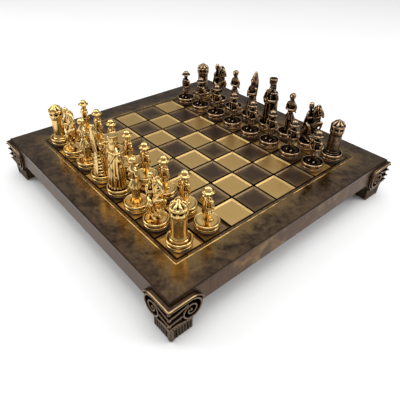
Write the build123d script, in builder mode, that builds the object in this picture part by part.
from build123d import *
import os

# A display chess set: a metal-clad board on four cast capital feet, and thirty-two cast chessmen.
# Millimetres. +Z is up, the origin is the middle of the board's footprint on the table.
# The gold side sits at -Y (the front) and the brown side at +Y (the back).

# Board
SQUARE = 20.0                      # pitch of the playing field
BOARD = 200.0                      # outer width of the board
BOARD_TOP = 31.0
BOARD_BOTTOM = 17.4
SHEET = 1.0                        # brass sheet on the top border and on the sides
CORE_TOP = BOARD_TOP - SHEET
CORE = BOARD - 2 * SHEET
FIELD = 8 * SQUARE
FRAME_INNER = 160.2
FRAME_OUTER = 165.0
FRAME_STEP = 0.15                  # the frame stands this much lower than the border
BEAD_AT = 82.2                     # half width of the raised bead on the field frame
BEAD_RADIUS = 0.35
TRAY_FLOOR = 28.8                  # bottom of the recess routed into the core
TRAY_SHEET = 0.4

# Square plates, each pressed as a shallow tray with bevelled walls
PLATE = 19.2
PLATE_MOUTH = 18.6
PLATE_DEPTH = 0.8
PLATE_BOTTOM = TRAY_FLOOR + TRAY_SHEET
PLATE_FLOOR = BOARD_TOP - PLATE_DEPTH

# Feet
FOOT_PAD = 0.8
FOOT_BLOCK = 13.5                  # from the board's side to the inner face of the leg
BLOCK_PROUD = 1.0                  # how far the leg stands out past the board's sides
FOOT_PROUD = 3.0                   # how far the wings stand out past the board's sides
FOOT_BEAD = 0.6                    # how far the bead under the ledge stands out past the wings
LEDGE_TOP = 29.0
LEDGE_THICK = 1.4
WING_TOP = 27.9
WING_BOTTOM = 10.6
WING_LENGTH = 12.6                 # from the board's corner to the scroll's centre
SCROLL_HEIGHT = 19.2
SCROLL_RADIUS = 8.1
SCROLL_GROOVE = 0.7
ROLL_RADIUS = 9.6                  # the top that rolls over the scroll
ROLL_DROP = 3.4                    # its end, above the scroll's centre
FLUTES = 6
FLUTE_RADIUS = 0.9
FLUTE_TOP = 9.0
FLANGE = 24.0
FLANGE_INSET = 3.0
FLANGE_THICK = 2.2
SCREW_OFFSETS = ((18.6, 8.0), (8.0, 18.6))
SCREW_SHANK = 1.1
SCREW_HEAD = 2.2
SCREW_HEAD_HEIGHT = 1.1
SCREW_TIP = 25.0
SCREW_PLAY = 0.05

# Felt on the underside of the board
FELT = 0.8
FELT_INSET = 4.0
FELT_CORNER = 26.0

# Chessmen: total heights from the square plate's floor, and the turned base that they share
PAD = 0.8
PAD_RADIUS = 7.0
GLUE = 0.02
BASE_FOOT = 7.1
BASE_RADIUS = 7.8
BASE_RIM = 5.5                     # top of the raised rim
BASE_TOP = 5.0                     # floor of the dish inside the rim
ROOK_HEIGHT = 31.4
KNIGHT_HEIGHT = 35.6
BISHOP_HEIGHT = 36.2
QUEEN_HEIGHT = 40.5
KING_HEIGHT = 41.5
PAWN_HEIGHT = 28.8
HOOD_RADIUS = 2.4                  # the bishop's hood
PEAK_RADIUS = 1.3                  # the tip of the queen's headdress
ROOK_OUTWARD = 1.2                 # the rooks stand a little towards the board's edge
GOLD_BACK_ROW = -71.2              # where each row stands along Y
GOLD_PAWN_ROW = -50.0
BROWN_PAWN_ROW = 49.0
BROWN_BACK_ROW = 70.0

os.makedirs("parts", exist_ok=True)


def save(piece, name):
    """Label a finished piece and write its STEP file."""
    piece.label = name
    export_step(piece, "parts/" + name + ".step")


def plate_centres(light):
    """Centres of the light or the dark squares. The near right corner square is light."""
    centres = []
    for column in range(8):
        for row in range(8):
            if ((column + row) % 2 == 1) == light:
                centres.append(((column - 3.5) * SQUARE, (row - 3.5) * SQUARE))
    return centres


def corner_turns():
    """The four feet: name, the board corner it is under, and its turn about Z."""
    half = BOARD / 2
    return (
        ("foot_front_left", (-half, -half), 0),
        ("foot_front_right", (half, -half), 90),
        ("foot_back_right", (half, half), 180),
        ("foot_back_left", (-half, half), 270),
    )


# ---------------------------------------------------------------- board

def make_core():
    """The wooden core: routed for the field tray, with pilot holes for the foot screws."""
    with BuildPart() as core_panel:
        with BuildSketch(Plane.XY.offset(BOARD_BOTTOM)):
            Rectangle(CORE, CORE)
        extrude(amount=CORE_TOP - BOARD_BOTTOM)
        with BuildSketch(Plane.XY.offset(CORE_TOP)):
            Rectangle(FRAME_INNER, FRAME_INNER)
        extrude(amount=TRAY_FLOOR - CORE_TOP, mode=Mode.SUBTRACT)
        for _, corner, turn in corner_turns():
            with BuildSketch(Plane(Location((*corner, BOARD_BOTTOM), (0, 0, turn)))):
                with Locations(*SCREW_OFFSETS):
                    Circle(SCREW_SHANK + SCREW_PLAY)
            extrude(amount=SCREW_TIP - BOARD_BOTTOM + SCREW_PLAY, mode=Mode.SUBTRACT)
    save(core_panel.part, "core_panel")


def make_border():
    """The brass sheet round the playing field."""
    with BuildPart() as border_plate:
        with BuildSketch(Plane.XY.offset(CORE_TOP)):
            Rectangle(BOARD, BOARD)
            Rectangle(FRAME_OUTER, FRAME_OUTER, mode=Mode.SUBTRACT)
        extrude(amount=SHEET)
        chamfer(border_plate.edges().group_by(Axis.Z)[-1], 0.2)
    save(border_plate.part, "border_plate")


def make_frame():
    """The flat frame between the border and the squares, with its raised bead."""
    top = BOARD_TOP - FRAME_STEP
    with BuildPart() as field_frame:
        with BuildSketch(Plane.XY.offset(CORE_TOP)):
            Rectangle(FRAME_OUTER, FRAME_OUTER)
            Rectangle(FRAME_INNER, FRAME_INNER, mode=Mode.SUBTRACT)
        extrude(amount=top - CORE_TOP)
        with BuildSketch(Plane.XY.offset(top)):
            Rectangle(2 * BEAD_AT + BEAD_RADIUS, 2 * BEAD_AT + BEAD_RADIUS)
            Rectangle(2 * BEAD_AT - BEAD_RADIUS, 2 * BEAD_AT - BEAD_RADIUS, mode=Mode.SUBTRACT)
        extrude(amount=BEAD_RADIUS)
        chamfer(field_frame.edges().group_by(Axis.Z)[-1], BEAD_RADIUS / 3)
    save(field_frame.part, "field_frame")


def make_tray():
    """The thin dark sheet that the square plates lie on."""
    with BuildPart() as field_plate:
        with BuildSketch(Plane.XY.offset(TRAY_FLOOR)):
            Rectangle(FIELD, FIELD)
        extrude(amount=TRAY_SHEET)
    save(field_plate.part, "field_plate")


def make_squares(name, light):
    """The thirty-two square plates of one colour."""
    with BuildPart() as plate:
        with BuildSketch(Plane.XY.offset(PLATE_BOTTOM)):
            Rectangle(PLATE, PLATE)
        extrude(amount=BOARD_TOP - PLATE_BOTTOM)
        with BuildSketch(Plane.XY.offset(BOARD_TOP)):
            Rectangle(PLATE_MOUTH, PLATE_MOUTH)
        extrude(amount=-PLATE_DEPTH, taper=45, mode=Mode.SUBTRACT)
    with BuildPart() as squares:
        with Locations(*[(x, y, 0) for x, y in plate_centres(light)]):
            add(plate.part)
    save(squares.part, name)


def make_side_strips():
    """Four brass strips round the core, mitred at the corners."""
    outer = BOARD / 2
    inner = CORE / 2
    for name, turn in (("front", 0), ("right", 90), ("back", 180), ("left", 270)):
        with BuildPart() as strip:
            with BuildSketch(Plane(Location((0, 0, BOARD_BOTTOM), (0, 0, turn)))):
                with BuildLine():
                    Polyline((-outer, -outer), (outer, -outer), (inner, -inner), (-inner, -inner), close=True)
                make_face()
            extrude(amount=CORE_TOP - BOARD_BOTTOM)
        save(strip.part, "side_strip_" + name)


def make_base_felt():
    """The felt under the board, cut away round the four feet."""
    width = BOARD - 2 * FELT_INSET
    corner = FELT_CORNER - FELT_INSET
    with BuildPart() as base_felt:
        with BuildSketch(Plane.XY.offset(BOARD_BOTTOM - FELT)):
            Rectangle(width, width)
            with Locations((-width / 2, -width / 2), (width / 2, -width / 2),
                           (-width / 2, width / 2), (width / 2, width / 2)):
                Rectangle(2 * corner, 2 * corner, mode=Mode.SUBTRACT)
        extrude(amount=FELT)
    save(base_felt.part, "base_felt")


# ---------------------------------------------------------------- feet

def make_foot_casting():
    """One cast foot for the corner at the origin, with the board lying towards +X and +Y."""
    proud = FOOT_PROUD + FOOT_BEAD
    with BuildPart() as foot:
        # the leg under the board, and the flange that is screwed to the core
        with BuildSketch(Plane.XY.offset(FOOT_PAD)):
            with Locations((-BLOCK_PROUD, -BLOCK_PROUD)):
                Rectangle(FOOT_BLOCK + BLOCK_PROUD, FOOT_BLOCK + BLOCK_PROUD, align=(Align.MIN, Align.MIN))
        extrude(amount=WING_BOTTOM + 2 - FOOT_PAD)
        with BuildSketch(Plane.XY.offset(FOOT_PAD)):
            Rectangle(FOOT_BLOCK, FOOT_BLOCK, align=(Align.MIN, Align.MIN))
        extrude(amount=BOARD_BOTTOM - FOOT_PAD)
        with BuildSketch(Plane.XY.offset(BOARD_BOTTOM - FLANGE_THICK)):
            with Locations((FLANGE_INSET, FLANGE_INSET)):
                Rectangle(FLANGE - FLANGE_INSET, FLANGE - FLANGE_INSET, align=(Align.MIN, Align.MIN))
        extrude(amount=FLANGE_THICK)
        # the two wings outside the board's sides, each ending in a scroll
        for plane, side in ((Plane.XZ, -1), (Plane.YZ, 1)):
            with BuildSketch(plane):
                with Locations((-FOOT_PROUD, WING_BOTTOM + 2)):
                    Rectangle(WING_LENGTH + FOOT_PROUD, WING_TOP - WING_BOTTOM - 2,
                              align=(Align.MIN, Align.MIN))
                with Locations((WING_LENGTH, SCROLL_HEIGHT)):
                    Circle(SCROLL_RADIUS)
            extrude(amount=-side * FOOT_PROUD)
            with BuildSketch(plane):
                with Locations((WING_LENGTH, SCROLL_HEIGHT)):
                    Circle(ROLL_RADIUS)
                with Locations((WING_LENGTH, SCROLL_HEIGHT + ROLL_DROP)):
                    Rectangle(ROLL_RADIUS, ROLL_RADIUS, align=(Align.MIN, Align.MIN), mode=Mode.INTERSECT)
            extrude(amount=-side * FOOT_PROUD)
            with BuildSketch(plane.offset(-side * FOOT_PROUD)):
                with Locations((WING_LENGTH, SCROLL_HEIGHT)):
                    Circle(SCROLL_RADIUS - 1.4)
                    Circle(SCROLL_RADIUS - 2.8, mode=Mode.SUBTRACT)
                    Circle(SCROLL_RADIUS - 4.4)
                    Circle(SCROLL_RADIUS - 5.8, mode=Mode.SUBTRACT)
            extrude(amount=side * SCROLL_GROOVE, mode=Mode.SUBTRACT)
        # the bead and the ledge that follow the board's corner
        with BuildSketch(Plane.XY.offset(LEDGE_TOP - 2 * LEDGE_THICK)):
            with Locations((-proud, -proud)):
                Rectangle(WING_LENGTH + proud, WING_LENGTH + proud, align=(Align.MIN, Align.MIN))
            Rectangle(2 * BOARD, 2 * BOARD, align=(Align.MIN, Align.MIN), mode=Mode.SUBTRACT)
        extrude(amount=LEDGE_THICK)
        with BuildSketch(Plane.XY.offset(LEDGE_TOP - LEDGE_THICK)):
            with Locations((-FOOT_PROUD, -FOOT_PROUD)):
                Rectangle(WING_LENGTH + FOOT_PROUD, WING_LENGTH + FOOT_PROUD, align=(Align.MIN, Align.MIN))
            Rectangle(2 * BOARD, 2 * BOARD, align=(Align.MIN, Align.MIN), mode=Mode.SUBTRACT)
        extrude(amount=LEDGE_THICK)
        # flutes down both outer faces of the leg
        pitch = (FOOT_BLOCK + BLOCK_PROUD) / FLUTES
        outside = -BLOCK_PROUD - FLUTE_RADIUS / 3
        for number in range(FLUTES):
            along = (number + 0.5) * pitch - BLOCK_PROUD
            for place in ((along, outside), (outside, along)):
                with BuildSketch(Plane.XY.offset(FOOT_PAD)):
                    with Locations(place):
                        Circle(FLUTE_RADIUS)
                extrude(amount=FLUTE_TOP - FOOT_PAD, mode=Mode.SUBTRACT)
        # countersunk holes in the flange
        for place in SCREW_OFFSETS:
            with BuildSketch(Plane.XY.offset(BOARD_BOTTOM - FLANGE_THICK)):
                with Locations(place):
                    Circle(SCREW_HEAD + SCREW_PLAY)
            with BuildSketch(Plane.XY.offset(BOARD_BOTTOM - FLANGE_THICK + SCREW_HEAD_HEIGHT)):
                with Locations(place):
                    Circle(SCREW_SHANK + SCREW_PLAY)
            loft(mode=Mode.SUBTRACT)
            with BuildSketch(Plane.XY.offset(BOARD_BOTTOM - FLANGE_THICK)):
                with Locations(place):
                    Circle(SCREW_SHANK + SCREW_PLAY)
            extrude(amount=FLANGE_THICK, mode=Mode.SUBTRACT)
    return foot.part


def make_screw():
    """One countersunk screw, head down, standing on the origin."""
    with BuildPart() as screw:
        with BuildSketch(Plane.XZ):
            with BuildLine():
                Polyline(
                    (0, 0), (SCREW_HEAD, 0), (SCREW_SHANK, SCREW_HEAD_HEIGHT),
                    (SCREW_SHANK, SCREW_TIP - BOARD_BOTTOM), (0, SCREW_TIP - BOARD_BOTTOM + FLANGE_THICK),
                    close=True,
                )
            make_face()
        revolve(axis=Axis.Z)
        with BuildSketch():
            Rectangle(2.6, 0.5)
            Rectangle(0.5, 2.6)
        extrude(amount=0.6, mode=Mode.SUBTRACT)
    return screw.part


def make_feet():
    """Four castings, the felt pads under them and the eight screws that hold them."""
    casting = make_foot_casting()
    screw = make_screw()
    for name, corner, turn in corner_turns():
        with BuildPart() as foot:
            with Locations(Location((*corner, 0), (0, 0, turn))):
                add(casting)
        save(foot.part, name)
    with BuildPart() as foot_pads:
        for _, corner, turn in corner_turns():
            with BuildSketch(Plane(Location((*corner, 0), (0, 0, turn)))):
                with Locations((FOOT_BLOCK / 2, FOOT_BLOCK / 2)):
                    RectangleRounded(FOOT_BLOCK - 2, FOOT_BLOCK - 2, 1.5)
            extrude(amount=FOOT_PAD)
    save(foot_pads.part, "foot_pads")
    with BuildPart() as foot_screws:
        for _, corner, turn in corner_turns():
            frame = Location((*corner, BOARD_BOTTOM - FLANGE_THICK), (0, 0, turn))
            with Locations(*[frame * Location((x, y, 0)) for x, y in SCREW_OFFSETS]):
                add(screw)
    save(foot_screws.part, "foot_screws")


# ---------------------------------------------------------------- chessmen
# Each figure is made round the Z axis, standing on z = 0 and facing -Y. The helpers below
# add to the BuildPart block that calls them.

def turned(*outline):
    """A turned shape from (radius, height) points, closed along the axis."""
    with BuildSketch(Plane.XZ) as half:
        with BuildLine():
            Polyline(*outline, close=True)
        make_face()
    revolve(half.sketch, axis=Axis.Z)


def draped(*sections):
    """A solid through oval sections: height, half width, half depth and shift towards +Y."""
    ovals = []
    for height, half_width, half_depth, shift in sections:
        with BuildSketch(Plane((0, shift, height))) as oval:
            Ellipse(half_width, half_depth)
        ovals.append(oval.sketch)
    loft(ovals)


def limb(start, end, start_radius, end_radius):
    """A tapered round bar between two points."""
    run = Vector(*end) - Vector(*start)
    with BuildSketch(Plane(origin=start, z_dir=run)) as near_end:
        Circle(start_radius)
    with BuildSketch(Plane(origin=end, z_dir=run)) as far_end:
        Circle(end_radius)
    loft([near_end.sketch, far_end.sketch])


def ball(centre, radius):
    """A ball at a point."""
    with Locations(centre):
        Sphere(radius)


def turned_base():
    """The dished, stepped base under every chessman."""
    bottom = PAD + GLUE
    turned(
        (0, bottom), (BASE_FOOT, bottom), (7.5, 1.3), (7.5, 2.4), (6.9, 2.9), (6.9, 3.3),
        (BASE_RADIUS, 4.0), (BASE_RADIUS, 4.9), (7.4, BASE_RIM), (6.6, BASE_TOP), (0, BASE_TOP),
    )


def arms(shoulder, elbow, hand, radius):
    """Two bent arms, mirrored left and right."""
    for side in (-1, 1):
        upper = (side * shoulder[0], shoulder[1], shoulder[2])
        bend = (side * elbow[0], elbow[1], elbow[2])
        palm = (side * hand[0], hand[1], hand[2])
        limb(upper, bend, radius, radius)
        ball(bend, radius * 1.05)
        limb(bend, palm, radius, radius * 0.75)


def make_rook():
    """A round tower with a corbelled head, small windows and a pointed roof."""
    with BuildPart() as rook:
        turned_base()
        turned(
            (0, 4), (5.6, 4), (5.7, 5.6), (5.0, 6.4), (4.6, 8.0), (4.35, 20.4), (4.8, 21.0),
            (4.8, 21.6), (5.1, 22.8), (5.2, 26.9), (4.5, 28.2), (1.6, 29.9), (0, ROOK_HEIGHT),
        )
        with PolarLocations(5.1, 8):
            with Locations((0, 0, 24.5)):
                Box(1.2, 1.6, 1.9, mode=Mode.SUBTRACT)
    return rook.part


def make_knight():
    """An armoured rider on a rearing horse that stands on its hind legs and tail. It faces +X."""
    with BuildPart() as knight:
        turned_base()
        for side in (-1, 1):
            limb((-3.4, side * 1.7, 13), (-4.6, side * 1.9, 9.2), 2.0, 1.1)
            ball((-4.6, side * 1.9, 9.2), 1.2)
            limb((-4.6, side * 1.9, 9.2), (1.0, side * 1.7, 5.6), 1.1, 0.9)
            limb((1.0, side * 1.7, 6.4), (1.0, side * 1.7, 4), 1.0, 1.2)
        limb((-5.6, 0, 15), (-6.5, 0, 10.5), 1.1, 1.1)
        ball((-6.5, 0, 10.5), 1.15)
        limb((-6.5, 0, 10.5), (-5.7, 0, 4), 1.1, 0.9)
        limb((-3.4, 0, 13.4), (2.4, 0, 19.0), 3.3, 3.2)
        ball((-3.4, 0, 13.4), 3.35)
        ball((2.4, 0, 19.0), 3.25)
        limb((2.4, 0, 19.0), (3.0, 0, 27.8), 3.1, 2.4)
        ball((3.0, 0, 27.8), 2.45)
        limb((3.0, 0, 27.8), (3.7, 0, 31.8), 2.4, 1.9)
        ball((3.7, 0, 31.8), 1.95)
        limb((3.7, 0, 31.8), (6.5, 0, 28.4), 1.9, 1.1)
        limb((3.3, 0, 31.5), (3.2, 0, 35.2), 1.5, 0.5)
        limb((3.0, -1.4, 20), (6.5, -1.4, 23.4), 1.6, 1.1)
        ball((6.5, -1.4, 23.4), 1.15)
        limb((6.5, -1.4, 23.4), (6.2, -1.4, 17), 1.1, 0.9)
        limb((3.0, 1.5, 18.4), (6.3, 1.5, 20.4), 1.6, 1.1)
        ball((6.3, 1.5, 20.4), 1.15)
        limb((6.3, 1.5, 20.4), (5.4, 1.5, 14.6), 1.1, 0.9)
        limb((-2.2, 0, 16), (-2.6, 0, 30.8), 2.6, 1.6)
        for side in (-1, 1):
            limb((-1.6, side * 2.4, 18.9), (1.2, side * 3.2, 11.6), 1.4, 1.0)
            limb((-2.7, side * 1.9, 27.6), (0.9, side * 1.5, 24.7), 1.2, 1.0)
        ball((-2.6, 0, 32.0), 2.0)
        limb((-2.7, 0, 32.0), (-2.7, 0, KNIGHT_HEIGHT), 1.95, 1.2)
    return knight.part


def make_bishop():
    """A robed churchman with a rounded hood and hands joined at the waist."""
    with BuildPart() as bishop:
        turned_base()
        draped((4, 3.4, 3.1, 0), (12, 2.6, 2.4, 0), (20, 2.0, 1.7, 0))
        draped(
            (16.4, 4.0, 3.4, 0), (18.6, 3.1, 2.6, 0), (21.3, 2.1, 1.8, 0), (26.8, 3.0, 2.2, 0.1),
            (30.4, 1.4, 1.4, 0.1),
        )
        arms((2.8, 0.2, 27.4), (3.9, 0.4, 24.4), (0.9, -2.8, 23.8), 1.1)
        limb((0, 0.2, 28), (0, 0.2, 33), 1.3, 1.6)
        ball((0, -0.2, 33.1), 2.0)
        ball((0, 0.4, BISHOP_HEIGHT - HOOD_RADIUS), HOOD_RADIUS)
    return bishop.part


def make_queen():
    """A lady in a long dress, with a tall pointed headdress and a veil down her back."""
    with BuildPart() as queen:
        turned_base()
        draped(
            (4, 5.4, 5.0, 0), (12, 4.3, 3.9, 0), (21.4, 2.6, 2.1, 0.2), (26.6, 3.3, 2.3, 0.5),
            (30.2, 1.4, 1.3, 0.7),
        )
        arms((2.9, 0.3, 26.8), (3.9, 0.2, 23.4), (1.0, -4.0, 23.4), 1.1)
        limb((0, 0.5, 29), (0, 0.5, 33), 1.3, 1.6)
        ball((0, 0.2, 32.4), 2.1)
        limb((0, 1.6, 31), (0, 2.5, QUEEN_HEIGHT - PEAK_RADIUS), 2.7, PEAK_RADIUS)
        ball((0, 2.5, QUEEN_HEIGHT - PEAK_RADIUS), PEAK_RADIUS)
        limb((0, 2.5, 37), (0, 3.5, 5.6), 1.2, 2.7)
    return queen.part


def make_king():
    """A bearded king in a broad cloak, with a flat-topped crown."""
    with BuildPart() as king:
        turned_base()
        draped(
            (4, 4.9, 4.5, 0), (9, 6.0, 4.6, 0.5), (17, 5.9, 4.2, 0.6), (24, 5.7, 3.6, 0.5),
            (29.4, 5.1, 2.9, 0.3), (33.4, 1.9, 1.8, 0),
        )
        arms((4.6, 0, 28.8), (5.6, -0.6, 24.6), (2.0, -4.1, 24.6), 1.45)
        limb((0, -0.9, 34.4), (0, -3.0, 30), 1.7, 0.9)
        ball((0, 0.1, 35.2), 2.5)
        turned(
            (0, 36.4), (2.8, 36.4), (2.8, 38.6), (3.3, 40.6), (3.2, KING_HEIGHT), (2.6, KING_HEIGHT),
            (2.5, 41.0), (0, 41.0),
        )
    return king.part


def make_pawn():
    """A foot soldier in a brimmed helmet, elbows out and hands on his belt."""
    with BuildPart() as pawn:
        turned_base()
        for side in (-1, 1):
            limb((side * 1.4, 0, 4), (side * 1.3, 0, 12.5), 1.2, 1.5)
        draped((10.5, 3.0, 2.4, 0), (14.8, 2.1, 1.8, 0), (19.6, 3.0, 2.1, 0), (22.4, 1.3, 1.2, 0))
        arms((2.9, 0, 19.6), (4.5, 0.2, 16.6), (2.1, -1.6, 14.9), 1.0)
        ball((0, 0, 23.7), 1.8)
        turned(
            (0, 25.0), (3.75, 25.0), (3.75, 25.6), (2.5, 26.2), (2.2, 27.6), (1.2, 28.6), (0, PAWN_HEIGHT),
        )
    return pawn.part


def make_chessman(name, casting, x, y, turn):
    """One casting with its glued felt pad, standing on the floor of its square."""
    with BuildPart() as chessman:
        with Locations(Location((x, y, PLATE_FLOOR), (0, 0, turn))):
            add(casting, clean=False)
            Cylinder(PAD_RADIUS, PAD, align=(Align.CENTER, Align.CENTER, Align.MIN))
    save(chessman.part, name)


def make_chessmen():
    """Both armies, each on its own two rows, the brown facing -Y and the gold facing +Y."""
    rook = make_rook()
    knight = make_knight()
    bishop = make_bishop()
    pawn = make_pawn()
    back_row = (
        ("rook_left", rook, -ROOK_OUTWARD), ("knight_left", knight, 0), ("bishop_left", bishop, 0),
        ("queen", make_queen(), 0), ("king", make_king(), 0),
        ("bishop_right", bishop, 0), ("knight_right", knight, 0), ("rook_right", rook, ROOK_OUTWARD),
    )
    armies = (("gold", GOLD_BACK_ROW, GOLD_PAWN_ROW, 180), ("brown", BROWN_BACK_ROW, BROWN_PAWN_ROW, 0))
    for army, back_at, pawns_at, turn in armies:
        for column, (name, casting, shift) in enumerate(back_row):
            x = (column - 3.5) * SQUARE + shift
            facing = 0 if casting is knight else turn
            make_chessman(army + "_" + name, casting, x, back_at, facing)
        for column in range(8):
            x = (column - 3.5) * SQUARE
            make_chessman(f"{army}_pawn_{column + 1}", pawn, x, pawns_at, turn)


make_core()
make_border()
make_frame()
make_tray()
make_squares("light_squares", True)
make_squares("dark_squares", False)
make_side_strips()
make_base_felt()
make_feet()
make_chessmen()
